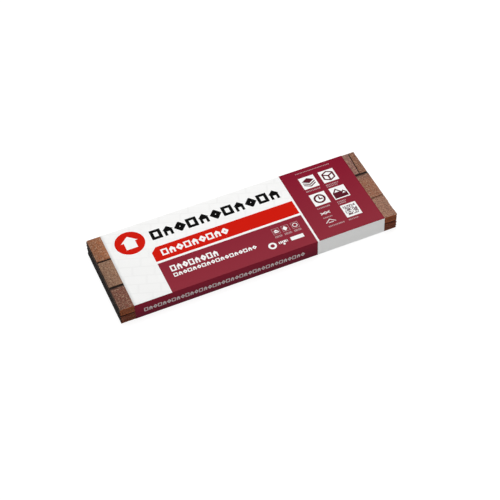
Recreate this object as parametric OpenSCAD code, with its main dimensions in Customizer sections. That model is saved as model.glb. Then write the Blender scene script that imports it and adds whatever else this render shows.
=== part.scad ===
// Bundle of laminated asphalt roof shingles in a printed paper sleeve.
// Millimetres. +X runs along the bundle, +Y to the long side that carries the glued seam,
// +Z up. The origin is the middle of the underside.

/* [Shingle] */
// Length of one shingle
shingle_l = 1000; // [600:10:1400]
// Width of one shingle, from its head edge to its butt edge
shingle_w = 333; // [260:1:450]
// Thickness of the full-size bottom mat
mat_t = 2.4; // [1.5:0.1:4]
// Thickness of the tabs that are laminated on the mat
tab_t = 2.3; // [1:0.1:4]

/* [Tab courses] */
// Width of the course along the head edge
head_course_w = 107; // [60:1:120]
// Width of the middle course
middle_course_w = 116; // [60:1:120]
// Width of the groove between two courses
groove_w = 6; // [2:0.5:8]
// Distance between two slots of one course
slot_pitch = 225; // [120:5:320]
// Width of a slot between two tabs
slot_w = 3; // [1.5:0.5:6]
// How far a slot leans over the width of its course
slot_lean = 7; // [0:1:20]
// Distance from the right-hand end to the first slot of the head course
first_slot = 25; // [15:1:60]
// How much further in the middle course starts its slots
middle_stagger = 100; // [0:5:120]
// How much further in the butt course starts its slots
butt_stagger = 165; // [0:5:200]
// Shortest tab that is left at the left-hand end
shortest_tab = 60; // [30:5:100]

/* [Stack] */
// Number of shingles in the bundle
shingle_count = 14; // [10:1:20]
// Largest slip of a shingle along the bundle
slip_x = 1.5; // [0:0.1:4]
// Largest slip of a shingle across the bundle
slip_y = 0.3; // [0:0.1:1]

/* [Paper sleeve] */
// Length of the sleeve along the bundle
sleeve_l = 904; // [300:1:1200]
// How far the middle of the sleeve is from the middle of the bundle
sleeve_shift = 2; // [-20:1:20]
// Thickness of the paper
paper_t = 0.2; // [0.15:0.05:0.6]
// Air between the shingles' long edges and the paper, which its folds turn in
side_air = 0.5; // [0.3:0.1:2]
// Height of the glued overlap, halfway up the seam side
seam_h = 30; // [12:1:40]

/* [Hidden] */
$fn = 48;
sheet_t = mat_t + tab_t;
stack_h = shingle_count * sheet_t;
butt_course_w = shingle_w - head_course_w - middle_course_w - 2 * groove_w;
// the paper lies flat on the top shingle and under the bottom one, so its folds
// stay in the air beside the stack
fold_r = side_air;
sleeve_in_w = shingle_w + 2 * (slip_y + side_air);
sleeve_out_w = sleeve_in_w + 2 * paper_t;
sleeve_out_h = stack_h + 2 * paper_t;
// golden angle, which spreads the slips so that no two neighbours line up
slip_turn = 137.5;

function two_digits(k) = k < 10 ? str("0", k) : str(k);
function shingle_name(k) = str("shingle_", two_digits(k));
// the top and bottom shingles reach the two ends, and the rest slip between them
function slip(k) = k == shingle_count ? 1 : k == 1 ? -1 : sin(k * slip_turn);
// distances from the right-hand end to each slot of a course
function slots(first) = [for (d = [first:slot_pitch:shingle_l - shortest_tab]) d];

// One slot, leaning, as a cut through a course that starts at y and is w wide
module slot(d, y, w) {
    x = shingle_l / 2 - d;
    lean = slot_lean / 2;
    over = 1;
    translate([x, y + w / 2])
        polygon([
            [-slot_w / 2 - lean, -w / 2 - over], [slot_w / 2 - lean, -w / 2 - over],
            [slot_w / 2 + lean, w / 2 + over], [-slot_w / 2 + lean, w / 2 + over]
        ]);
}

// A row of tabs on top of the mat
module course(y, w, first) {
    translate([0, 0, mat_t])
        linear_extrude(tab_t)
            difference() {
                translate([-shingle_l / 2, y]) square([shingle_l, w]);
                for (d = slots(first)) slot(d, y, w);
            }
}

// The bottom mat, a whole rectangle
module mat() {
    linear_extrude(mat_t) square([shingle_l, shingle_w], center = true);
}

// One laminated shingle, lying flat with its tabs up: mat and tabs are bonded into one sheet
module laminated_shingle() {
    head_y = shingle_w / 2 - head_course_w;
    middle_y = head_y - groove_w - middle_course_w;
    union() {
        mat();
        course(head_y, head_course_w, first_slot);
        course(middle_y, middle_course_w, first_slot + middle_stagger);
        course(-shingle_w / 2, butt_course_w, first_slot + butt_stagger);
    }
}

// Shingle k of the stack, counted from the floor
module shingle(k) {
    color(k > shingle_count / 2 ? "#a5745a" : "#8a5a47")
        translate([
            slip_x * slip(k),
            slip_y * sin(k * 2 * slip_turn),
            paper_t + (k - 1) * sheet_t
        ])
            laminated_shingle();
}

// Rounded rectangle around the stack's section, standing on the line y = low
module fold_outline(w, h, r, low) {
    translate([0, low + h / 2])
        union() {
            square([w - 2 * r, h], center = true);
            square([w, h - 2 * r], center = true);
            for (x = [-1, 1], y = [-1, 1])
                translate([x * (w / 2 - r), y * (h / 2 - r)]) circle(r);
        }
}

// The sleeve's section: one turn of paper with its free edge glued over its start
module sleeve_section() {
    difference() {
        fold_outline(sleeve_out_w, sleeve_out_h, fold_r + paper_t, 0);
        fold_outline(sleeve_in_w, stack_h, fold_r, paper_t);
    }
    translate([sleeve_out_w / 2, (sleeve_out_h - seam_h) / 2]) square([paper_t, seam_h]);
}

// Printed paper sleeve, open at both ends
module paper_sleeve() {
    color("#f4f4f2")
        translate([sleeve_shift - sleeve_l / 2, 0, 0])
            rotate([90, 0, 90])
                linear_extrude(sleeve_l) sleeve_section();
}

for (k = [1:shingle_count]) shingle(k);
paper_sleeve();
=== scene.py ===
# %% [markdown]
# # A bundle of asphalt shingles
# A bundle is a stack of stiff sheets held by a printed paper sleeve. Most of each sheet is hidden,
# so the work goes where the eye goes: the bare ends with their mineral granules, the cut edges,
# and the sleeve with its folds, its seam and its print. The frame that is loaded first holds the
# pieces at their real size, and everything made here takes its place from that frame.

# %% Load the frame
import math

import bmesh
import bpy
import numpy as np
from mathutils import Matrix, Vector, noise


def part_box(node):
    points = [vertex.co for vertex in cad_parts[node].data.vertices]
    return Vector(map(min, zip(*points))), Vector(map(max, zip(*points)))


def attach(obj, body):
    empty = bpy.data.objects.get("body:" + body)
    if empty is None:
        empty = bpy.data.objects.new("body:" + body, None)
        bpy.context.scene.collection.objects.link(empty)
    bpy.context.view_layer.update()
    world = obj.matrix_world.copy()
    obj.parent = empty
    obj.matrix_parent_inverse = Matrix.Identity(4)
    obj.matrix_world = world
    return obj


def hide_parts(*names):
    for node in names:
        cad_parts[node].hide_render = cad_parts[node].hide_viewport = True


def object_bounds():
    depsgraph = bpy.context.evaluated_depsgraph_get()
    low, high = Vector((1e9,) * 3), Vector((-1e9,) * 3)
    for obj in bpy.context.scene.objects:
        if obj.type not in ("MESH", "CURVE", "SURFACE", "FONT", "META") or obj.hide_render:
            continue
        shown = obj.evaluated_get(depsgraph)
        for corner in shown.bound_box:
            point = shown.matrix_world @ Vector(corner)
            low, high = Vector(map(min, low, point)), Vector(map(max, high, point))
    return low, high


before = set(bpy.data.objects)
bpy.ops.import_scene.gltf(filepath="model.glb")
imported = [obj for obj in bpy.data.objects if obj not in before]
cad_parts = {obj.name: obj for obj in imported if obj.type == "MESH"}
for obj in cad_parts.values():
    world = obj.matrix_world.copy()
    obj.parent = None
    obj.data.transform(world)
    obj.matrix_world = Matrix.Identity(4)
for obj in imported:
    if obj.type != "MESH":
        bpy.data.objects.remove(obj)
cad_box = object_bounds()
MM = 0.001
sheet_names = sorted(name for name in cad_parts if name.startswith("shingle_"))
sheet_boxes = [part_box(name) for name in sheet_names]
sleeve_low, sleeve_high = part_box("paper_sleeve")
top_low, top_high = sheet_boxes[-1]
SHEET_T = top_high.z - top_low.z
print(len(sheet_names), "sheets of", round(SHEET_T / MM, 2), "mm")

# %% [markdown]
# ## Camera
# The bundle is seen from above its near left corner with a long lens, which keeps its long edges
# nearly parallel. Azimuth, elevation and roll say how the camera is turned, the aim is the point
# it is centred on, and its distance follows from there.

# %% Camera
CAMERA_AZIMUTH = -21.51
CAMERA_ELEVATION = 48.22
CAMERA_ROLL = -2.73
CAMERA_FOCAL = 97.48  # in mm, on a sensor 36 mm wide
CAMERA_DISTANCE = 4.618
CAMERA_SIDEWAYS = -0.0248  # how far right of the picture's middle the origin lies
CAMERA_UP = 0.0324  # how far above the picture's middle the origin lies


def make_camera():
    azimuth = math.radians(CAMERA_AZIMUTH)
    elevation = math.radians(CAMERA_ELEVATION)
    back = Vector((math.sin(azimuth) * math.cos(elevation),
                   -math.cos(azimuth) * math.cos(elevation),
                   math.sin(elevation)))
    level_right = Vector((0, 0, 1)).cross(back).normalized()
    level_up = back.cross(level_right)
    turn = Matrix.Rotation(math.radians(CAMERA_ROLL), 3, back)
    right = turn @ level_right
    up = turn @ level_up
    camera = bpy.data.objects.new("camera", bpy.data.cameras.new("camera"))
    bpy.context.scene.collection.objects.link(camera)
    camera.data.lens = CAMERA_FOCAL
    camera.data.sensor_width = 36
    place = back * CAMERA_DISTANCE - right * CAMERA_SIDEWAYS - up * CAMERA_UP
    turned = Matrix((right, up, back)).transposed().to_4x4()
    camera.matrix_world = Matrix.Translation(place) @ turned
    camera.data.clip_end = 100
    bpy.context.scene.camera = camera
    print("camera at", [round(c, 3) for c in place])


make_camera()

# %% [markdown]
# ## Shader maths as expressions
# A pattern is easier to read as `inside * (1 - mask)` than as forty linked boxes. One small class
# wraps a socket, and each operator on it adds a Math node. Colours are mixed by Mix nodes, since a
# Math node would turn them grey.

# %% A number that varies
class Term:
    """A number that varies over a surface: one output socket of a material's nodes."""

    def __init__(self, book, socket):
        self.book = book
        self.socket = socket

    def maths(self, operation, *values):
        sockets = {place: value for place, value in enumerate(values)}
        return self.book.node("ShaderNodeMath", {"operation": operation}, sockets)

    def __add__(self, other):
        return self.maths("ADD", self, other)

    def __radd__(self, other):
        return self.maths("ADD", other, self)

    def __sub__(self, other):
        return self.maths("SUBTRACT", self, other)

    def __rsub__(self, other):
        return self.maths("SUBTRACT", other, self)

    def __mul__(self, other):
        return self.maths("MULTIPLY", self, other)

    def __rmul__(self, other):
        return self.maths("MULTIPLY", other, self)

    def __truediv__(self, other):
        return self.maths("DIVIDE", self, other)

    def __abs__(self):
        return self.maths("ABSOLUTE", self)

    def __lt__(self, other):
        return self.maths("LESS_THAN", self, other)

    def __gt__(self, other):
        return self.maths("GREATER_THAN", self, other)

    def __or__(self, other):
        return self.maths("MAXIMUM", self, other)

    def near(self, middle, reach):
        """1 where the number is within reach of the middle, else 0."""
        return self.maths("COMPARE", self, middle, reach)

    def floor(self):
        return self.maths("FLOOR", self)

    def fraction(self):
        return self.maths("FRACT", self)

    def smooth(self, low, high):
        """0 below low and 1 above high, with a soft step between."""
        return self.book.node("ShaderNodeMapRange", {"interpolation_type": "SMOOTHSTEP"},
                              {"Value": self, "From Min": low, "From Max": high})


# %% [markdown]
# ## A material's book
# Nodes could be made and linked one by one, which takes four lines for each. Here a material keeps
# a book: one method adds any node with its settings and its sockets, and the shorter methods name
# the few that are asked for most, such as a soft noise, a place on the bundle or a bump.

# %% A material and its nodes
class Book:
    """A material and the nodes it is made of."""

    def __init__(self, name):
        self.material = bpy.data.materials.new(name)
        self.material.use_nodes = True
        self.tree = self.material.node_tree
        self.shader = self.tree.nodes["Principled BSDF"]

    def node(self, kind, settings, sockets, outlet=0):
        node = self.tree.nodes.new(kind)
        for key, value in settings.items():
            setattr(node, key, value)
        for key, value in sockets.items():
            self.plug(node.inputs[key], value)
        return Term(self, node.outputs[outlet])

    def plug(self, socket, value):
        if isinstance(value, Term):
            self.tree.links.new(value.socket, socket)
        else:
            socket.default_value = value

    def mix(self, factor, first, second, blend="MIX"):
        """A colour between two others."""
        settings = {"data_type": "RGBA", "blend_type": blend}
        return self.node("ShaderNodeMix", settings, {0: factor, 6: first, 7: second}, 2)

    def axes(self, vector):
        """The three numbers of a vector, each as a Term."""
        split = self.node("ShaderNodeSeparateXYZ", {}, {"Vector": vector})
        return [Term(self, split.socket.node.outputs[axis]) for axis in "XYZ"]

    def place(self):
        """Where a point is on the bundle, in the frame's metres."""
        return self.node("ShaderNodeTexCoord", {}, {}, "Object")

    def cloud(self, vector, scale, detail=2.0, roughness=0.5):
        """Soft noise from 0 to 1, with scale lumps to the metre."""
        sockets = {"Vector": vector, "Scale": scale, "Detail": detail, "Roughness": roughness}
        return self.node("ShaderNodeTexNoise", {}, sockets, "Fac")

    def bump(self, height, depth, under=None):
        """A normal tilted by a height, whose full range is depth metres."""
        sockets = {"Height": height, "Distance": depth, "Strength": 1.0}
        if under is not None:
            sockets["Normal"] = under
        return self.node("ShaderNodeBump", {}, sockets)

    def finish(self, **sockets):
        """Links or sets the shader's own sockets, with _ for a space in a name."""
        for key, value in sockets.items():
            self.plug(self.shader.inputs[key.replace("_", " ")], value)
        return self.material


def tint(code):
    """A colour code such as #a06a4c as the linear colour that a shader takes."""
    parts = [int(code[k:k + 2], 16) / 255 for k in (1, 3, 5)]
    return (*[p / 12.92 if p <= 0.04045 else ((p + 0.055) / 1.055) ** 2.4 for p in parts], 1.0)


print("middle grey is", round(tint("#808080")[0], 3), "in linear light")

# %% [markdown]
# ## White table
# A bundle for a catalogue is laid on a white table that is lit from below, so that its shadow all
# but goes. The same comes from a floor that glows nearly white and throws little of its own light
# back. A floor without the glow would show a grey pool under the near edge.

# %% White table
FLOOR_SIZE = 40
FLOOR_GLOW = 0.87
FLOOR_GREY = 0.22


def make_floor():
    book = Book("white_table")
    book.finish(Base_Color=(FLOOR_GREY, FLOOR_GREY, FLOOR_GREY, 1), Roughness=0.7,
                Emission_Color=(1, 1, 1, 1), Emission_Strength=FLOOR_GLOW)
    bm = bmesh.new()
    bmesh.ops.create_grid(bm, x_segments=1, y_segments=1, size=FLOOR_SIZE / 2)
    mesh = bpy.data.meshes.new("floor")
    bm.to_mesh(mesh)
    bm.free()
    mesh.materials.append(book.material)
    floor = bpy.data.objects.new("floor", mesh)
    bpy.context.scene.collection.objects.link(floor)
    print("table", FLOOR_SIZE, "m wide")


make_floor()

# %% [markdown]
# ## Softbox and room
# One large softbox hangs over and behind the bundle, and the room is brighter behind it as well.
# The front is lit only by the darker half of the room and by what the table throws back, and so it
# is darker than the top. The room's light is a fade along Y on the world's Background. A Light Path
# node shows the camera a white room all the same, so the backdrop is clean from every side.

# %% Softbox and room
ROOM_LIGHT = (0.07, 0.75)  # before the bundle and behind it
ROOM_FADE = (-0.1, 0.5)  # where along Y the room's light starts and stops growing
SOFTBOX_POWER = 75
SOFTBOX_SIZE = 2.6
SOFTBOX_PLACE = Vector((0.1, 0.5, 3.0))


def make_lights():
    world = bpy.data.worlds.new("room")
    world.use_nodes = True
    nodes = world.node_tree.nodes
    way = nodes.new("ShaderNodeTexCoord")
    split = nodes.new("ShaderNodeSeparateXYZ")
    fade = nodes.new("ShaderNodeMapRange")
    for inlet, value in zip(("From Min", "From Max", "To Min", "To Max"),
                            (*ROOM_FADE, *ROOM_LIGHT)):
        fade.inputs[inlet].default_value = value
    nodes["Background"].inputs["Color"].default_value = (1, 1, 1, 1)
    path = nodes.new("ShaderNodeLightPath")
    brighter = nodes.new("ShaderNodeMath")
    brighter.operation = "MAXIMUM"
    world.node_tree.links.new(way.outputs["Generated"], split.inputs["Vector"])
    world.node_tree.links.new(split.outputs["Y"], fade.inputs["Value"])
    world.node_tree.links.new(fade.outputs["Result"], brighter.inputs[0])
    world.node_tree.links.new(path.outputs["Is Camera Ray"], brighter.inputs[1])
    world.node_tree.links.new(brighter.outputs[0], nodes["Background"].inputs["Strength"])
    bpy.context.scene.world = world
    lamp = bpy.data.lights.new("softbox", "AREA")
    lamp.shape = "SQUARE"
    lamp.size = SOFTBOX_SIZE
    lamp.energy = SOFTBOX_POWER
    softbox = bpy.data.objects.new("softbox", lamp)
    softbox.location = SOFTBOX_PLACE
    softbox.rotation_euler = SOFTBOX_PLACE.to_track_quat("Z", "Y").to_euler()
    bpy.context.scene.collection.objects.link(softbox)
    bpy.context.scene.view_settings.view_transform = "Standard"
    print("softbox", SOFTBOX_SIZE, "m wide,", round(SOFTBOX_PLACE.length, 2), "m away")


make_lights()

# %% [markdown]
# ## How a shingle is laid out
# Each sheet is a full-size mat with three courses of tabs laminated on it. The courses are parted
# by grooves, and the tabs of a course by narrow slots that lean a little. The numbers are those of
# the frame's own sheets, counted from the sheet's far edge and from its right-hand end.

# %% Courses, grooves and slots
MAT_T = 2.4 * MM
HEAD_COURSE_W = 107 * MM
MIDDLE_COURSE_W = 116 * MM
GROOVE_W = 6 * MM
SLOT_PITCH = 225 * MM
SLOT_W = 3 * MM
SLOT_LEAN = 7 * MM
FIRST_SLOTS = (25 * MM, 125 * MM, 190 * MM)
SHORTEST_TAB = 60 * MM
GRANULE_LAYER = 0.45 * MM  # the sheets are this much lower under the granules that stand on them


def courses(low, high):
    """The near and far side of each course of a sheet, from its far edge on."""
    head = (high.y - HEAD_COURSE_W, high.y)
    middle = (head[0] - GROOVE_W - MIDDLE_COURSE_W, head[0] - GROOVE_W)
    return head, middle, (low.y, middle[0] - GROOVE_W)


def slots(low, high, first):
    """The middles of a course's slots, from the right-hand end on."""
    room = high.x - low.x - SHORTEST_TAB - first
    return [high.x - first - k * SLOT_PITCH for k in range(int(room / SLOT_PITCH) + 1)]


widths = [round((far - near) / MM, 1) for near, far in courses(top_low, top_high)]
print("courses", widths, "mm wide")

# %% [markdown]
# ## Slabs with soft edges
# The mat and each tab are flat slabs. A slab could be extruded from an outline, but a cube that is
# scaled, and sheared where its ends lean, gives the same with fewer steps. Its edges are bevelled,
# since no edge of bitumen felt is razor sharp.

# %% Slabs
SOFT_EDGE = 0.3 * MM


def add_slab(bm, x_range, y_range, z_range, lean=(0, 0)):
    """Adds a box with soft edges. lean is how far its two short ends slant over its width."""
    spans = [x_range, y_range, z_range]
    size = [b - a for a, b in spans]
    middle = [(a + b) / 2 for a, b in spans]
    made = bmesh.ops.create_cube(bm, size=1.0)["verts"]
    bmesh.ops.scale(bm, vec=size, verts=made)
    for vert in made:
        across = vert.co.y / size[1]
        vert.co.x += across * (lean[1] if vert.co.x > 0 else lean[0])
    bmesh.ops.translate(bm, vec=middle, verts=made)
    edges = {edge for vert in made for edge in vert.link_edges}
    bevelled = bmesh.ops.bevel(bm, geom=list(edges), offset=SOFT_EDGE, offset_type="OFFSET",
                               segments=1, profile=0.5, affect="EDGES", material=-1)
    return {vert for face in bevelled["faces"] for vert in face.verts}


# %% [markdown]
# ## Chipped ends
# A sheet was chopped from a long web, so its short ends are torn a little. A knife cut with a bump
# would keep a ruler-straight outline. So the edges along the ends are cut into short lengths, and
# noise moves those points in by a fraction of a millimetre. The top sheet has also lost a sliver.

# %% Chipped ends
CHIP_LENGTH = 3 * MM
CHIP_DEPTH = 0.7 * MM
CHIP_WAVES = (9 * MM, 2.5 * MM)  # the long and the short waves of a torn edge
CORNER_CHIP = (-0.135, -0.110)  # where the top sheet's right end has lost a sliver, along Y
CORNER_CHIP_DEPTH = 1.8 * MM
CORNER_CHIP_REACH = 12 * MM


def chip_ends(bm, low, high, seed):
    """Cuts the edges along the two short ends into lengths and pushes their points in a little."""
    def at_end(vert):
        return min(vert.co.x - low.x, high.x - vert.co.x) < 2 * SOFT_EDGE

    long_ones = [e for e in bm.edges if at_end(e.verts[0]) and at_end(e.verts[1])
                 and abs(e.verts[0].co.y - e.verts[1].co.y) > 10 * CHIP_LENGTH
                 and abs(e.verts[0].co.x - e.verts[1].co.x) < SOFT_EDGE]
    longest = max(abs(e.verts[0].co.y - e.verts[1].co.y) for e in long_ones)
    bmesh.ops.subdivide_edges(bm, edges=long_ones, cuts=int(longest / CHIP_LENGTH),
                              use_grid_fill=True)
    middle = (low.x + high.x) / 2
    for vert in bm.verts:
        if at_end(vert):
            spot = Vector((vert.co.y / CHIP_WAVES[0], seed, math.copysign(5, vert.co.x)))
            fine = Vector((vert.co.y / CHIP_WAVES[1], vert.co.z / MM, seed))
            torn = 0.5 + 0.6 * noise.noise(spot) + 0.4 * noise.noise(fine)
            depth = CHIP_DEPTH * min(max(torn, 0), 1)
            if high.z == top_high.z and vert.co.x > middle:
                from_chip = max(CORNER_CHIP[0] - vert.co.y, vert.co.y - CORNER_CHIP[1], 0)
                depth += CORNER_CHIP_DEPTH * max(1 - from_chip / CORNER_CHIP_REACH, 0)
            vert.co.x += depth if vert.co.x < middle else -depth


# %% [markdown]
# ## The stack
# One sheet is a mat and its tabs, in one mesh with five finishes: the granule face, the cut ends,
# the long edges, the walls of grooves and slots, and the sanded underside. Which one a face gets
# follows from its normal and its place. Sheets are made one by one and not as an array, because
# each is torn in its own way. One sheet in the middle has no granules on its edges and stands back
# a little, and its edges are painted near-black as painted shade; together they draw the dark line
# that parts the stack in two.

# %% Make the sheets
# This sheet's long edges are also painted near-black, as painted shade in the dark line.
DARK_SHEET = 8  # counted from the floor: this one has no granules on its long edges
BARE_RECESS = 1.0 * MM  # and is that much narrower on both sides
NEAR_SIDE = 2 * MM  # a wall this near a sheet's side is part of that side
TOP, CUT_END, LONG_EDGE, TAB_WALL, UNDER = range(5)


def finish_of(face, low, high):
    """Which of a sheet's finishes a face has, from the way it looks and where it is."""
    normal, spot = face.normal, face.calc_center_median()
    if abs(normal.x) > 0.6:
        return CUT_END if min(spot.x - low.x, high.x - spot.x) < NEAR_SIDE else TAB_WALL
    if abs(normal.y) > 0.6:
        return LONG_EDGE if min(spot.y - low.y, high.y - spot.y) < NEAR_SIDE else TAB_WALL
    return TOP if normal.z > 0 else UNDER


def make_sheet(name, low, high, seed):
    bm = bmesh.new()
    tab_z = (low.z + MAT_T, high.z - GRANULE_LAYER)
    add_slab(bm, (low.x, high.x), (low.y, high.y), (low.z, low.z + MAT_T))
    for (near, far), first in zip(courses(low, high), FIRST_SLOTS):
        right, right_lean = high.x, 0
        for middle in slots(low, high, first):
            add_slab(bm, (middle + SLOT_W / 2, right), (near, far), tab_z, (SLOT_LEAN, right_lean))
            right, right_lean = middle - SLOT_W / 2, SLOT_LEAN
        add_slab(bm, (low.x, right), (near, far), tab_z, (0, right_lean))
    chip_ends(bm, low, high, seed)
    bm.normal_update()
    for face in bm.faces:
        face.material_index = finish_of(face, low, high)
    mesh = bpy.data.meshes.new(name)
    bm.to_mesh(mesh)
    bm.free()
    sheet = bpy.data.objects.new(name, mesh)
    bpy.context.scene.collection.objects.link(sheet)
    return sheet


sheets = []
for number, (node, (low, high)) in enumerate(zip(sheet_names, sheet_boxes), 1):
    recess = Vector((0, BARE_RECESS if number == DARK_SHEET else 0, 0))
    sheet = make_sheet("laminated_" + node, low + recess, high - recess, 3.7 * number)
    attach(sheet, "root")
    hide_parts(node)
    sheets.append(sheet)
print("a sheet has", len(sheets[-1].data.polygons), "faces")

# %% [markdown]
# ## Colours of the weathering face
# A laminated shingle is a blend: each tab was dropped from another hopper of coloured granules, so
# neighbouring courses differ. Painted shade is mixed in as well: a band along the far side of the
# right end's middle course, and a darkening towards the outside of the left end. The colour is
# worked out from the place on the bundle alone. The sheets and the loose granules ask the same
# function, and so they always agree.

# %% Blend of granule colours
COURSE_TINTS = {  # for the left and the right end: head course, middle course, butt course
    "left": ("#c3794f", "#b2876c", "#8c4c42"),
    "right": ("#a97a71", "#b07258", "#b88671"),
}
# Painted shade: a greyish band along the far side of the right end's middle course.
PAINTED_SHADE_TINT = "#8f675d"  # along the far side of the right end's middle course
PAST_SLOT_TINT = "#9b6550"
# A dark tint for random dark grains and clumps, and for the painted shade at the left end.
DARK_GRAIN_AND_SHADE_TINT = "#3a2820"
# Painted shade: the left end is painted darker towards its outside.
OUTER_PAINTED_SHADE = 0.3  # how much the left end darkens towards the outside
CLUMPS = (  # a noise's scale, where its step starts and stops, its strength and its tint
    (240.0, 0.48, 0.64, 0.6, DARK_GRAIN_AND_SHADE_TINT),
    (170.0, 0.5, 0.66, 0.55, "#d9b596"),
)


def blend_colour(book):
    """The colour of the granules at a place on the top face."""
    x, y, z = book.axes(book.place())
    head, middle, butt = courses(top_low, top_high)
    right = x > 0.0
    colours = []
    for side in ("left", "right"):
        first, second, third = [tint(code) for code in COURSE_TINTS[side]]
        colour = book.mix(y > butt[1], third, second)
        colour = book.mix(y > middle[1], colour, first)
        colours.append(colour)
    slot = slots(top_low, top_high, FIRST_SLOTS[0])[0]
    slant = (y - (head[0] + head[1]) / 2) * (SLOT_LEAN / HEAD_COURSE_W) + slot
    # Painted shade along the far side of the right end's middle course.
    painted_shade_band = y.smooth(middle[1] - 34 * MM, middle[1] - 6 * MM) * (y < middle[1])
    colours[1] = book.mix(painted_shade_band * 0.75, colours[1], tint(PAINTED_SHADE_TINT))
    past = (x - slant > 0.0) * (y > head[0])
    colours[1] = book.mix(past, colours[1], tint(PAST_SLOT_TINT))
    # Painted shade, darker towards the outside of the left end.
    outer = 1 - x.smooth(top_low.x, sleeve_low.x)
    colours[0] = book.mix(outer * OUTER_PAINTED_SHADE, colours[0], tint(DARK_GRAIN_AND_SHADE_TINT))
    colour = book.mix(right, colours[0], colours[1])
    place = book.place()
    for scale, start, stop, share, code in CLUMPS:
        colour = book.mix(book.cloud(place, scale).smooth(start, stop) * share, colour, tint(code))
    return colour, (x, y, z)


# %% [markdown]
# ## Shadow lines
# Beside each groove a band of painted shade makes it look deeper than its two millimetres, and it
# also stands for the dark bands that makers of laminated shingles lay on purpose. The groove itself
# is painted dark as well, as painted shade, wherever the face lies about as low as the mat. Both
# are shares from 0 to 1 that the blend is mixed with, and the larger one wins.

# %% Shadow lines
SHADOW_BANDS = {  # at each groove: its reach on the near and on the far side, and how dark it is
    "left": ((0.5 * MM, 2.5 * MM, 0.35), (10 * MM, 2.5 * MM, 0.75)),
    "right": ((9 * MM, 2.5 * MM, 0.6), (5 * MM, 0, 0.25)),
}
LIGHTER_GROOVE_SHADE = 0.75  # how much lighter the painted shade in the right end's second groove is
# The colour of the painted shade in and beside the grooves.
GROOVE_SHADE_TINT = "#1e1410"


def shadow_share(x, y, z):
    """How much painted shade the blend gets: full in a groove, fading out over the course before
    it.
    """
    bands = {}
    for side in ("left", "right"):
        edges = [far for _, far in courses(top_low, top_high)[1:]]
        first, second = [y.smooth(edge - reach, edge) * (y < edge + GROOVE_W + over) * share
                         for edge, (reach, over, share) in zip(edges, SHADOW_BANDS[side])]
        bands[side] = first | second
    right = x > 0.0
    # The right end's second groove gets only a quarter of the painted shade.
    lighter_groove_share = right * (y < 0.0) * LIGHTER_GROOVE_SHADE
    groove = (z < top_low.z + MAT_T + 1 * MM) * (1 - lighter_groove_share)
    return groove | bands["left"] * (1 - right) | bands["right"] * right


# %% [markdown]
# ## Granule face
# Under the sleeve the top face has no loose granules, and between the loose ones it shows through.
# A Voronoi pattern with cells of about a millimetre gives each pressed-in grain its own tone and
# its own bump, and costs nothing but shading time.

# %% Granule face
GRAIN_SCALE = 900.0  # cells to the metre
BRIGHT_GRAIN = "#c9a98c"


def granule_face():
    """The top face of a sheet: granules pressed into bitumen, with painted shade in and by the
    grooves.
    """
    book = Book("granule_face")
    colour, (x, y, z) = blend_colour(book)
    place = book.place()
    grain_sockets = {"Vector": place, "Scale": GRAIN_SCALE}
    grain = book.node("ShaderNodeTexVoronoi", {}, grain_sockets, "Color")
    grain_tone, warmth, _ = book.axes(grain)
    height = book.node("ShaderNodeTexVoronoi", {}, grain_sockets, "Distance")
    colour = book.mix(grain_tone * 0.55, colour, tint(DARK_GRAIN_AND_SHADE_TINT))
    colour = book.mix((warmth > 0.85) * 0.5, colour, tint(BRIGHT_GRAIN))
    # Painted shade in and beside the grooves.
    colour = book.mix(shadow_share(x, y, z), colour, tint(GROOVE_SHADE_TINT))
    return book.finish(Base_Color=colour, Roughness=0.92, Specular_IOR_Level=0.25,
                       Normal=book.bump(1 - height, 0.5 * MM))


# %% [markdown]
# ## Cut ends
# The knife shows what a shingle is made of: black bitumen, and a thin brown line of granules on
# each layer. The lines are drawn from the height within one sheet. They are broken up by noise and
# fade towards the floor, and the top of the stack is patchily lighter brown.

# %% Cut ends
TAR_TINTS = ("#171513", "#35312d")
STONE_TINTS = ("#6b4c3a", "#4a3b33")
UPPER_END_TINT = "#75594a"


def cut_face():
    """The chopped short ends: black bitumen, with a brown line where granules lie on each layer."""
    book = Book("cut_face")
    place = book.place()
    z = book.axes(place)[2]
    level = ((z - sheet_boxes[0][0].z) / SHEET_T).fraction()
    mat_share = MAT_T / SHEET_T
    in_line = level.near(0.96, 0.05) | level.near(mat_share, 0.05)
    rough = book.cloud(place, 700.0, 3.0)
    patchy = book.cloud(place, 60.0, 2.0)
    tar = book.mix(rough.smooth(0.35, 0.7), *map(tint, TAR_TINTS))
    stone = book.mix(patchy, *map(tint, STONE_TINTS))
    upper = z.smooth(sheet_boxes[6][0].z, top_high.z) * 0.7 + 0.3
    # The top of the stack's cut ends is patchily lighter brown.
    upper_patches = z.smooth(top_high.z - 16 * MM, top_high.z - 4 * MM) * patchy.smooth(0.3, 0.55) * 0.85
    tar = book.mix(upper_patches, tar, tint(UPPER_END_TINT))
    colour = book.mix(in_line * upper * rough.smooth(0.3, 0.6), tar, stone)
    return book.finish(Base_Color=colour, Roughness=0.88, Specular_IOR_Level=0.3,
                       Normal=book.bump(rough, 0.6 * MM))


# %% [markdown]
# ## Long edges
# Granules spill over the long edges and cling to the warm bitumen, so these edges are brown. They
# are painted a little brighter on the upper sheets. The thin dark joints between the sheets are
# painted by height alone, like the lines on the cut ends. The sheet that stands back is painted
# darker too, as painted shade in the gap that it leaves.

# %% Long edges
EDGE_TINTS = ("#8a4328", "#a7562b")  # of the lower and of the upper sheets
# Painted shade: the near-black of the edges of the sheet that stands back.
GAP_SHADE_EDGE_TINT = "#431406"
TAR_TINT = "#2b2622"


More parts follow.
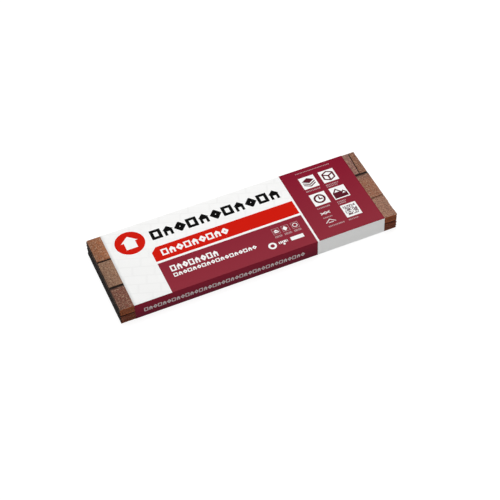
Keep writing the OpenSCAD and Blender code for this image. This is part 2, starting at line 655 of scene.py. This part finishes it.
def edge_colour(book, z):
    """The long edges: brown where granules cling to them, with painted shade on the sheet set back.
    """
    number = ((z - sheet_boxes[0][0].z) / SHEET_T).floor()
    upper = number > DARK_SHEET - 0.5
    colour = book.mix(upper, tint(EDGE_TINTS[0]), tint(EDGE_TINTS[1]))
    # Painted shade on the edges of the sheet that stands back.
    return book.mix(number.near(DARK_SHEET - 1, 0.5), colour, tint(GAP_SHADE_EDGE_TINT))


def long_edge_face():
    book = Book("long_edge")
    place = book.place()
    z = book.axes(place)[2]
    colour = edge_colour(book, z)
    rough = book.cloud(place, 900.0, 3.0)
    level = ((z - sheet_boxes[0][0].z) / SHEET_T).fraction()
    joint = level.near(0.0, 0.07) | level.near(1.0, 0.07)
    colour = book.mix(rough.smooth(0.35, 0.75) * 0.5 | joint * 0.8, colour, tint(TAR_TINT))
    return book.finish(Base_Color=colour, Roughness=0.9, Specular_IOR_Level=0.25,
                       Normal=book.bump(rough, 0.5 * MM))


# %% [markdown]
# ## Walls and underside
# The walls of grooves and slots are bare bitumen that no light reaches. The underside is dusted
# with fine sand, so that the sheets don't stick together in the sun. Both are a noise between two
# tints, since neither is ever seen close up.

# %% Walls and underside
WALL_TINTS = ("#120d0a", "#2a1b13")
SAND_TINTS = ("#26241f", "#6d675d")


def tab_wall():
    """The cut sides of a tab in a groove or slot: bitumen that no light reaches."""
    book = Book("tab_wall")
    rough = book.cloud(book.place(), 900.0, 3.0)
    colour = book.mix(rough, *map(tint, WALL_TINTS))
    return book.finish(Base_Color=colour, Roughness=0.9, Specular_IOR_Level=0.2,
                       Normal=book.bump(rough, 0.4 * MM))


def under_face():
    """The underside: bitumen dusted with fine sand so that sheets don't stick together."""
    book = Book("sanded_underside")
    place = book.place()
    sand = book.cloud(place, 1200.0, 2.0)
    colour = book.mix(sand.smooth(0.4, 0.62), *map(tint, SAND_TINTS))
    return book.finish(Base_Color=colour, Roughness=0.95, Normal=book.bump(sand, 0.3 * MM))


finishes = [granule_face(), cut_face(), long_edge_face(), tab_wall(), under_face()]
for sheet in sheets:
    for finish in finishes:
        sheet.data.materials.append(finish)
print("finishes", [finish.name for finish in finishes])

# %% [markdown]
# ## One crystal
# Crushed stone of about a millimetre gives the ends their sparkle and their rough outline, and
# bump alone would leave that outline straight. One crystal is an icosphere knocked out of round,
# with few faces because there will be thousands of it.

# %% Crystal
random = np.random.default_rng(41)


def crystal():
    """The corners and triangles of one crystal, about 1 in radius."""
    bm = bmesh.new()
    bmesh.ops.create_icosphere(bm, subdivisions=1, radius=1.0)
    for vert in bm.verts:
        vert.co *= 1 + 0.22 * noise.noise(vert.co * 3)
    corners = np.array([vert.co for vert in bm.verts])
    faces = np.array([[vert.index for vert in face.verts] for face in bm.faces])
    bm.free()
    return corners, faces


def random_turns(count):
    """Rotation matrices that turn every way alike, from random quaternions."""
    w, x, y, z = (q := random.normal(size=(4, count))) / np.linalg.norm(q, axis=0)
    rows = [[1 - 2 * (y * y + z * z), 2 * (x * y - z * w), 2 * (x * z + y * w)],
            [2 * (x * y + z * w), 1 - 2 * (x * x + z * z), 2 * (y * z - x * w)],
            [2 * (x * z - y * w), 2 * (y * z + x * w), 1 - 2 * (x * x + y * y)]]
    return np.moveaxis(np.array(rows), 2, 0)


# %% [markdown]
# ## Scattering
# Instances would be lighter, but the finished model needs real meshes. So the crystal is copied by
# arrays to all its places at once, each copy turned and stretched at random, and all of one area
# is one mesh. Each crystal keeps two random numbers, its tone and its warmth, as attributes that
# the material reads.

# %% Scatter
GRANULE_R = (0.42 * MM, 0.78 * MM)


def scatter(name, places, material):
    """One mesh of a crystal at each place, which says where its middle is."""
    corners, faces = crystal()
    count = len(places)
    radii = random.uniform(*GRANULE_R, count)
    stretch = random.uniform(0.7, 1.15, (count, 1, 3))
    turned = np.einsum("nij,nkj->nki", random_turns(count), corners[None] * stretch)
    points = turned * radii[:, None, None] + places[:, None, :]
    low, high = (np.array(corner) for corner in cad_box)
    points += np.maximum(low - points.min(axis=1), 0)[:, None, :]  # none may leave the box
    points -= np.maximum(points.max(axis=1) - high, 0)[:, None, :]
    triangles = faces[None] + np.arange(count)[:, None, None] * len(corners)
    mesh = bpy.data.meshes.new(name)
    mesh.vertices.add(count * len(corners))
    mesh.vertices.foreach_set("co", points.ravel())
    mesh.loops.add(triangles.size)
    mesh.loops.foreach_set("vertex_index", triangles.ravel())
    mesh.polygons.add(triangles.size // 3)
    mesh.polygons.foreach_set("loop_start", np.arange(0, triangles.size, 3))
    mesh.update(calc_edges=True)
    for key in ("tone", "warmth"):
        values = np.repeat(random.uniform(0, 1, count), len(corners))
        mesh.attributes.new(key, "FLOAT", "POINT").data.foreach_set("value", values)
    mesh.materials.append(material)
    piece = bpy.data.objects.new(name, mesh)
    bpy.context.scene.collection.objects.link(piece)
    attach(piece, "root")
    print(name, "has", count, "granules and", len(mesh.polygons), "faces")
    return piece


# %% [markdown]
# ## Where granules lie
# Granules are rolled in until they cover the bitumen, so they lie close and evenly but in no
# order. A grid whose points are each moved by up to half a pitch does that, and purely random
# places would leave bald spots. Those over a groove or slot drop down on the mat. On the long
# edges they stand on every sheet but the bare one.

# %% Places of the granules
GRANULE_PITCH = 1.3 * MM
EDGE_PITCH = 1.5 * MM
STRAY_SHARE = 0.04  # how many granules the bare sheet keeps


def grid_of_places(u_range, v_range, pitch):
    """Points a pitch apart over a rectangle, each moved at random by up to half a pitch."""
    us = np.arange(u_range[0] + pitch / 2, u_range[1], pitch)
    vs = np.arange(v_range[0] + pitch / 2, v_range[1], pitch)
    grid = np.stack(np.meshgrid(us, vs), -1).reshape(-1, 2)
    return grid + random.uniform(-0.5, 0.5, grid.shape) * pitch


def top_places(x_range):
    """Places on the top sheet's face, down in the grooves and slots as well."""
    xy = grid_of_places(x_range, (top_low.y + SOFT_EDGE, top_high.y - SOFT_EDGE), GRANULE_PITCH)
    head, middle, butt = courses(top_low, top_high)
    on_tab = np.zeros(len(xy), bool)
    for (near, far), first in zip((head, middle, butt), FIRST_SLOTS):
        inside = (xy[:, 1] > near) & (xy[:, 1] < far)
        for slot in slots(top_low, top_high, first):
            slant = (xy[:, 1] - (near + far) / 2) / (far - near) * SLOT_LEAN
            inside &= abs(xy[:, 0] - slot - slant) > SLOT_W / 2
        on_tab |= inside
    base = np.where(on_tab, top_high.z - GRANULE_LAYER, top_low.z + MAT_T)
    sink = random.uniform(-0.25, 0.0, len(xy)) * MM
    return np.column_stack([xy, base + sink])


def edge_places(x_range, y, side):
    """Places on a long edge of the whole stack, beside a bare end."""
    xz = grid_of_places(x_range, (sheet_boxes[0][0].z, top_high.z - GRANULE_LAYER), EDGE_PITCH)
    dark_low, dark_high = sheet_boxes[DARK_SHEET - 1]
    dark = (xz[:, 1] > dark_low.z) & (xz[:, 1] < dark_high.z)
    xz = xz[~dark | (random.uniform(0, 1, len(xz)) < STRAY_SHARE)]
    sink = random.uniform(0.1, 0.45, len(xz)) * MM
    return np.column_stack([xz[:, 0], y - side * sink, xz[:, 1]])


# %% [markdown]
# ## Granule finish
# A hopper holds stones of several colours. The blend gives the colour of the place, and each
# crystal's own tone and warmth then make it darker, paler, redder or greyer.

# %% Granule finish
PALE_STONE = "#d2b498"
RED_STONE = "#b5633a"
GREY_STONE = "#857c74"


def granule_finish(name, of_edge):
    book = Book(name)
    tone = book.node("ShaderNodeAttribute", {"attribute_name": "tone"}, {}, "Fac")
    warmth = book.node("ShaderNodeAttribute", {"attribute_name": "warmth"}, {}, "Fac")
    if of_edge:
        colour = edge_colour(book, book.axes(book.place())[2])
    else:
        colour, (x, y, z) = blend_colour(book)
    colour = book.mix(tone.smooth(0.55, 1.0) * 0.6, colour, tint(DARK_GRAIN_AND_SHADE_TINT))
    colour = book.mix((1 - tone).smooth(0.6, 1.0) * 0.45, colour, tint(PALE_STONE))
    colour = book.mix((warmth > 0.82) * 0.45, colour, tint(RED_STONE))
    colour = book.mix((warmth < 0.12) * 0.5, colour, tint(GREY_STONE))
    if not of_edge:
        # The same painted shade in and beside the grooves as on the sheets.
        colour = book.mix(shadow_share(x, y, z), colour, tint(GROOVE_SHADE_TINT))
    fine = book.cloud(book.place(), 2500.0, 2.0)
    return book.finish(Base_Color=colour, Roughness=0.75, Specular_IOR_Level=0.3,
                       Normal=book.bump(fine, 0.15 * MM))


# %% [markdown]
# ## Granules at the bare ends
# The granules go only where they can be seen, on the two ends that the sleeve leaves bare. They
# keep clear of the paper's edge and of the torn ends.

# %% Make the granules
OFF_PAPER = 0.6 * MM
OFF_END = 1.2 * MM
bare_ends = {
    "left": (top_low.x + OFF_END, sleeve_low.x - OFF_PAPER),
    "right": (sleeve_high.x + OFF_PAPER, top_high.x - OFF_END),
}
top_finish = granule_finish("granules_of_top", False)
edge_finish = granule_finish("granules_of_edges", True)
for end, span in bare_ends.items():
    scatter("granules_top_" + end, top_places(span), top_finish)
    sides = [edge_places(span, top_low.y, -1), edge_places(span, top_high.y, 1)]
    scatter("granules_edges_" + end, np.vstack(sides), edge_finish)

# %% [markdown]
# ## The way round the stack
# The sleeve is one sheet wrapped once round the stack, with its free edge glued over its start on
# the back. The path it takes is a list of corners across the bundle. It is also what tells how far
# round the sheet a point is, which the print needs.

# %% Path of the sleeve
PAPER_T = 0.2 * MM
SEAM_H = 30 * MM


def wrap_corners():
    """Where the sheet turns, as (y, z) from its hidden start to its glued free edge."""
    half = PAPER_T / 2
    front = sleeve_low.y + half
    inner_back, outer_back = sleeve_high.y - 3 * half, sleeve_high.y - half
    bottom, top = sleeve_low.z + half, sleeve_high.z - half
    seam_low = (sleeve_high.z - SEAM_H) / 2
    return [Vector(p) for p in ((inner_back, seam_low + SEAM_H), (inner_back, bottom),
                                (front, bottom), (front, top),
                                (outer_back, top), (outer_back, seam_low))]


def round_the_sheet(corners, y, z):
    """How far a point is along the path through the corners."""
    best, run = (1e9, 0), 0.0
    for a, b in zip(corners, corners[1:]):
        along = max(0.0, min(1.0, (Vector((y, z)) - a).dot(b - a) / (b - a).length_squared))
        off = (a.lerp(b, along) - Vector((y, z))).length
        best = min(best, (off, run + along * (b - a).length))
        run += (b - a).length
    return best[1]


# %% [markdown]
# ## Paper sleeve
# The sleeve is made the way it is wrapped: an edge as long as the sleeve is extruded from corner
# to corner, the corners are bevelled into folds, and Solidify gives the paper its thickness. Flat
# panels would look like board, so the paper sinks a little between its folds. Each point gets a
# map position in metres along and round the sheet, so that the print can be drawn flat and runs
# over the folds. The map is called OFBake, the one name that an export keeps as it is.

# %% Wrap the sleeve
FOLD_R = 0.6 * MM
SAG = 0.3 * MM  # how far the paper sinks into the air under it
SAG_REACH = 12 * MM
SAG_WAVES = 9  # to the metre along the sheet, and twice as many across it
WRAP_STEP = 12 * MM


def sag(spot, from_fold):
    """How far the paper sinks at a spot: not at all on a fold, and in broad waves off it."""
    free = min(max(from_fold - MM, 0) / SAG_REACH, 1)
    return SAG * free * min(max(0.55 + noise.noise(spot), 0), 1)


def make_sleeve():
    corners = wrap_corners()
    bm = bmesh.new()
    first = [bm.verts.new((x, *corners[0])) for x in (sleeve_high.x, sleeve_low.x)]
    edge = bm.edges.new(first)
    fold_edges = []
    for here, there in zip(corners, corners[1:]):
        made = bmesh.ops.extrude_edge_only(bm, edges=[edge])["geom"]
        verts = [item for item in made if isinstance(item, bmesh.types.BMVert)]
        edge = next(item for item in made if isinstance(item, bmesh.types.BMEdge)
                    and set(item.verts) == set(verts))
        bmesh.ops.translate(bm, vec=(0, *(there - here)), verts=verts)
        fold_edges.append(edge)
    bmesh.ops.bevel(bm, geom=fold_edges[:-1], offset=FOLD_R, offset_type="OFFSET", segments=4,
                    profile=0.5, affect="EDGES", material=-1)
    for axis, (start, stop) in enumerate(zip(sleeve_low, sleeve_high)):
        for cut in np.arange(start, stop, WRAP_STEP)[1:]:
            plane = Vector((0, 0, 0))
            plane[axis] = 1
            bmesh.ops.bisect_plane(bm, geom=bm.verts[:] + bm.edges[:] + bm.faces[:], dist=1e-6,
                                   plane_co=plane * cut, plane_no=plane)
    sheet_map = bm.loops.layers.uv.new("OFBake")
    for vert in bm.verts:
        run = round_the_sheet(corners, vert.co.y, vert.co.z)
        for loop in vert.link_loops:
            loop[sheet_map].uv = (vert.co.x - sleeve_low.x, run)
    middle_y = (sleeve_low.y + sleeve_high.y) / 2
    for vert in bm.verts:
        x, y, z = vert.co
        from_side = min(y - sleeve_low.y, sleeve_high.y - y)
        from_floor_and_top = min(z - sleeve_low.z, sleeve_high.z - z)
        spot = Vector((x, y * 2, z * 2)) * SAG_WAVES
        if z > sleeve_high.z - MM:
            vert.co.z -= sag(spot, from_side)
        elif from_side < MM:
            spot.y = math.copysign(3, y)
            vert.co.y -= math.copysign(sag(spot, from_floor_and_top), y - middle_y)
    bmesh.ops.recalc_face_normals(bm, faces=bm.faces[:])
    mesh = bpy.data.meshes.new("wrapped_sleeve")
    bm.to_mesh(mesh)
    bm.free()
    mesh.shade_smooth()
    sleeve = bpy.data.objects.new("wrapped_sleeve", mesh)
    bpy.context.scene.collection.objects.link(sleeve)
    shell = sleeve.modifiers.new("paper", "SOLIDIFY")
    shell.thickness = PAPER_T
    shell.offset = 0
    shell.material_offset_rim = 1
    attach(sleeve, "root")
    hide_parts("paper_sleeve")
    print("the sleeve has", len(mesh.polygons), "faces")
    return sleeve


sleeve = make_sleeve()

# %% [markdown]
# ## Shapes in ink
# The print is flat ink on coated paper. It is drawn in millimetres along the sheet and round it
# from the far fold, out of a few masks: a box, a disc, a gable, a roof-shaped stripe. An image
# would be quicker to make, and would blur close up. Where a real pack has words, rows of plain
# blocks or of outlined tiles, houses and diamonds stand in their place.

# %% Shapes in ink
class Print:
    """The flat sheet: its two distances in millimetres, and shapes as masks from 0 to 1."""

    def __init__(self, book, x, y):
        self.book = book
        self.x = x
        self.y = y

    def box(self, x0, x1, y0, y1):
        """A rectangle."""
        return (self.x.near((x0 + x1) / 2, (x1 - x0) / 2)
                * self.y.near((y0 + y1) / 2, (y1 - y0) / 2))

    def disc(self, x, y, r):
        across, down = self.x - x, self.y - y
        return across * across + down * down < r * r

    def ring(self, x, y, r, width):
        return self.disc(x, y, r) - self.disc(x, y, r - width)

    def frame(self, x0, x1, y0, y1, width):
        """The outline of a rectangle."""
        inner = self.box(x0 + width, x1 - width, y0 + width, y1 - width)
        return self.box(x0, x1, y0, y1) - inner

    def diamond(self, x, y, half_x, half_y):
        return abs(self.x - x) / half_x + abs(self.y - y) / half_y < 1

    def gable(self, x, y, half, rise, base):
        """A triangle with its top at x, y, and its level base at a given distance."""
        slope = abs(self.x - x) * (rise / half) + y
        return (self.y > slope) * (self.y < base)

    def roof(self, x, y, half, rise, width):
        """A bent stripe, like a roof from its gable side. A negative rise bends it down."""
        middle = abs(self.x - x) * (rise / half) + y
        return (abs(self.y - middle) < width / 2) * self.x.near(x, half)

    def blocks(self, x0, x1, y0, y1, pitch):
        """A row of plain blocks of random widths, in the place of a line of words."""
        cell = (self.x - x0) / pitch
        white = self.book.node("ShaderNodeTexWhiteNoise", {"noise_dimensions": "1D"},
                               {"W": cell.floor() + y0}, "Value")
        return self.box(x0, x1, y0, y1) * (cell.fraction() < white * 0.35 + 0.5)

    def motifs(self, x0, x1, y0, y1, count, stroke):
        """A row of outlined shapes in the place of large words: a tile, a house and a diamond."""
        pitch = (x1 - x0) / count
        cell = (self.x - x0) / pitch
        kind = (cell.floor() / 3).fraction()
        one = Print(self.book, cell.fraction() * pitch, self.y)
        middle, half, tall = pitch / 2, pitch * 0.44, y1 - y0
        tile = one.frame(middle - half, middle + half, y0, y1, stroke)
        eaves = y0 + tall * 0.42
        house = (one.gable(middle, y0, half, tall * 0.42, eaves)
                 | one.box(middle - half * 0.8, middle + half * 0.8, eaves - 0.5, y1)
                 - one.box(middle - stroke * 0.5, middle + stroke * 0.5, eaves + stroke * 0.7, y1))
        y = (y0 + y1) / 2
        hole = max(0.0, 1 - 1.5 * stroke / half)
        wide, high = half * 1.15, tall * 0.56
        diamond = (one.diamond(middle, y, wide, high)
                   - one.diamond(middle, y, wide * hole, high * hole))
        shape = (kind < 0.2) * tile | kind.near(0.333, 0.1) * house | (kind > 0.5) * diamond
        return shape * self.box(x0, x1, y0, y1)


def union(masks):
    whole = masks[0]
    for mask in masks[1:]:
        whole = whole | mask
    return whole


# %% [markdown]
# ## White and pale shapes
# On red and burgundy the print is white: the squares behind the pictograms, a ring, small figures
# and rows of motifs. Captions are so small that from afar they read as pink lines, so they are
# rows of blocks mixed in at a third. All the numbers are millimetres on the flat sheet.

# %% White and pale shapes
ICON = 57  # a square behind a pictogram
ICON_X = (716, 791)
ICON_Y = (41.5, 129.5)
SMALL_FRAMES = [(533 + 35 * k, 559 + 35 * k) for k in range(3)]
CAPTIONS = ((716, 847, 16, 19.5), (716, 769, 108, 114), (791, 838, 108, 114), (791, 833, 117, 122),
            (716, 763, 197, 203), (791, 823, 197, 203), (791, 820, 206, 211), (716, 749, 245, 250),
            (716, 774, 287, 293), (791, 828, 287, 293))


def white_shapes(sheet):
    """White on red and burgundy: squares, discs and the rows of motifs."""
    shapes = [sheet.motifs(160, 404, 144, 173, 9, 6), sheet.motifs(162, 334, 225, 251, 8, 5),
              sheet.motifs(162, 460, 260, 276, 18, 3.5)]
    shapes += [sheet.box(x, x + ICON, y, y + ICON + 1) for x in ICON_X for y in ICON_Y]
    shapes += [sheet.box(ICON_X[1], ICON_X[1] + ICON, 219, 279)]
    shapes += [sheet.ring(509, 288.5, 14.5, 7), sheet.box(577, 624, 278, 294),
               sheet.blocks(533, 565, 281, 291, 6), sheet.disc(549, 296, 4)]
    one, two, three = [(a + b) / 2 for a, b in SMALL_FRAMES]
    shapes += [sheet.gable(one, 225, 9, 8, 233), sheet.box(one - 7, one + 9, 235, 240),
               sheet.diamond(two - 2, 233, 9, 11), sheet.ring(three, 233, 9, 2.5)]
    return union(shapes)


def pale_shapes(sheet):
    """Thin lines that read as pink from afar: captions and outlines."""
    shapes = [sheet.frame(a, b, 219, 247, 1.4) for a, b in SMALL_FRAMES]
    shapes += [sheet.blocks(a, b, 253, 262, 5) for a, b in SMALL_FRAMES]
    shapes += [sheet.blocks(*caption, 6) for caption in CAPTIONS]
    return union(shapes)


# %% [markdown]
# ## Pictograms
# Such packs carry small pictograms of what the product does. These are generic ones: stacked
# sheets, a cube, a clock face, two hills, a cross of two sheets and a gable. A square of random
# cells stands where a code would be.

# %% Pictograms
def loose_icons(sheet):
    """Two small white pictograms without a square: a cross of two sheets and a gable."""
    return union([sheet.roof(733, 231, 17, -9, 4), sheet.roof(733, 222, 17, 9, 4),
                  sheet.roof(733, 259, 18, 14, 4), sheet.box(724, 742, 272, 275)])


def icon_shapes(sheet):
    """Dark pictograms on the white squares: stacked sheets, a cube, a clock face and hills."""
    x1, x2, y1, y2 = (a + ICON / 2 for a in (*ICON_X, *ICON_Y))
    shapes = [sheet.diamond(x1, y1 - 8, 23, 13), sheet.roof(x1, y1 + 12, 22, -12, 5),
              sheet.roof(x1, y1 + 21, 22, -12, 5)]
    shapes += [sheet.roof(x2, y1 - 22, 21, 11, 6), sheet.roof(x2, y1, 21, -11, 6),
               sheet.roof(x2, y1 + 22, 21, -11, 6), sheet.box(x2 - 22, x2 - 16, y1 - 12, y1 + 12),
               sheet.box(x2 + 16, x2 + 22, y1 - 12, y1 + 12),
               sheet.box(x2 - 3, x2 + 3, y1, y1 + 22)]
    shapes += [sheet.ring(x1, y2, 21, 7), sheet.box(x1 - 2.5, x1 + 2.5, y2 - 12, y2 + 2),
               sheet.box(x1 - 2.5, x1 + 11, y2 - 1, y2 + 4)]
    inset = ICON / 2 - 3.6
    land = (sheet.gable(x2 - 8, y2 - 21, 30, 36, y2 + inset)
            | sheet.gable(x2 + 14, y2 - 6, 26, 30, y2 + inset))
    snow = (sheet.gable(x2 - 8, y2 - 14, 10, 12, y2 - 3)
            | sheet.gable(x2 + 14, y2 + 1, 8, 10, y2 + 9))
    shapes.append(sheet.box(x2 - inset, x2 + inset, y2 - inset, y2 + inset) * land - snow)
    return union(shapes)


def speckled_square(sheet, x0, y0, size, cells):
    """A square of random dark cells. It has no corner marks, so it is no code."""
    step = size / cells
    column = ((sheet.x - x0) / step).floor()
    row = ((sheet.y - y0) / step).floor()
    white = sheet.book.node("ShaderNodeTexWhiteNoise", {"noise_dimensions": "1D"},
                            {"W": column + row * 37.0}, "Value")
    return sheet.box(x0, x0 + size, y0, y0 + size) * (white > 0.45)


# %% [markdown]
# ## Printed paper
# The white field carries a red bar, a middle and a right-hand burgundy panel, and a burgundy
# front. On the top the burgundy is painted lighter towards the near fold as a painted reflection,
# and on the front darker towards its foot as painted shade. Each layer of ink is one Mix over the
# last, from the large areas to the small shapes. The paper itself has a faint fibre and broad
# waves, as bump, and a soft sheen from its coating.

# %% Printed paper
WHITE = "#f6f6f5"
RED = "#ce1503"
DEEP = "#84122b"  # burgundy by the far fold
PAINTED_SHEEN_BURGUNDY = "#8e2d3a"  # burgundy by the near fold
PAINTED_SHADE_BURGUNDY = "#67142a"  # burgundy at the foot of the front
BLACK = "#020202"
ICON_INK = "#5a1a27"
DOT_INK = "#5a2535"
far_corners = wrap_corners()[:5]
FAR_FOLD = sum((b - a).length for a, b in zip(far_corners, far_corners[1:])) * 1000
TOP_W = (sleeve_high.y - sleeve_low.y) / MM
FRONT_H = sleeve_high.z / MM
PANEL = (132, 653.5)  # the middle panel, from side to side
PANEL_TOP = 199.5
RIGHT_PANEL = 660.5
RED_BAR = (127, 190.5)
CHAMFER = 20
MARK = (81, 73, 52)  # the red disc's middle and radius


def cut_corner(sheet, x, y, size):
    """The half plane outside a 45 degree cut across an upper left corner."""
    return (sheet.x - x) + (sheet.y - y) < size


def faint_tabs(sheet):
    """A very pale pattern of slanting tabs that the white field carries."""
    along = (sheet.x * 0.94 + sheet.y * 0.34) / 74
    across = (sheet.y * 0.94 - sheet.x * 0.34) / 38
    step = across.floor() * 0.37
    return ((along + step).fraction() > 0.9) | (across.fraction() > 0.86)


def printed_paper():
    book = Book("printed_paper")
    along, round_it, _ = book.axes(book.node("ShaderNodeUVMap", {"uv_map": "OFBake"}, {}, "UV"))
    sheet = Print(book, along * 1000, FAR_FOLD - round_it * 1000)
    on_top = sheet.y.near(TOP_W / 2, TOP_W / 2)
    on_front = sheet.y.near(TOP_W + FRONT_H / 2, FRONT_H / 2)
    # Painted reflection: the burgundy on the top is lighter towards the near fold.
    burgundy = book.mix(sheet.y / TOP_W * on_top, tint(DEEP), tint(PAINTED_SHEEN_BURGUNDY))
    # Painted shade: the burgundy on the front is darker towards its foot.
    burgundy = book.mix((sheet.y - TOP_W) / FRONT_H * on_front, burgundy, tint(PAINTED_SHADE_BURGUNDY))
    panel = sheet.box(*PANEL, PANEL_TOP, TOP_W)
    right = (sheet.x > RIGHT_PANEL) * (sheet.y < TOP_W)
    front = on_front * (sheet.x < PANEL[1])
    colour = book.mix(faint_tabs(sheet) * on_top * 0.03, tint(WHITE), tint(BLACK))
    colour = book.mix(panel | right | front, colour, burgundy)
    bar = sheet.box(*PANEL, *RED_BAR) * (1 - cut_corner(sheet, PANEL[0], RED_BAR[0], CHAMFER))
    mark = sheet.disc(*MARK)
    house = sheet.gable(81, 42, 30, 26, 68) | sheet.box(61, 101, 67, 100)
    colour = book.mix(bar | mark, colour, tint(RED))
    colour = book.mix(sheet.motifs(153, 632, 51, 95, 11, 11.5), colour, tint(BLACK))
    colour = book.mix(pale_shapes(sheet) * 0.3, colour, tint(WHITE))
    front_line = sheet.motifs(30, 606, TOP_W + 28, TOP_W + 45, 36, 3.2)
    colour = book.mix(front_line * 0.55, colour, tint(WHITE))
    colour = book.mix(loose_icons(sheet) * 0.8, colour, tint(WHITE))
    colour = book.mix(white_shapes(sheet) | house, colour, tint(WHITE))
    colour = book.mix(icon_shapes(sheet), colour, tint(ICON_INK))
    dots = speckled_square(sheet, 797, 226, 45, 15)
    colour = book.mix(dots * 0.9, colour, tint(DOT_INK))
    place = book.place()
    wave = book.cloud(place, 9.0, 2.0)
    fibre = book.cloud(place, 1500.0, 2.0)
    normal = book.bump(wave, 2.2 * MM)
    normal = book.bump(fibre, 0.02 * MM, normal)
    return book.finish(Base_Color=colour, Roughness=0.42, Specular_IOR_Level=0.03, Normal=normal)


PAPER_TINTS = ("#e9e6df", "#f7f5f0")


def bare_paper():
    """The paper's cut edge, which has no ink."""
    book = Book("paper_edge")
    fibre = book.cloud(book.place(), 1800.0, 2.0)
    colour = book.mix(fibre, *map(tint, PAPER_TINTS))
    return book.finish(Base_Color=colour, Roughness=0.9)


sleeve.data.materials.append(printed_paper())
sleeve.data.materials.append(bare_paper())
print("the print has", len(sleeve.data.materials[0].node_tree.nodes), "nodes")
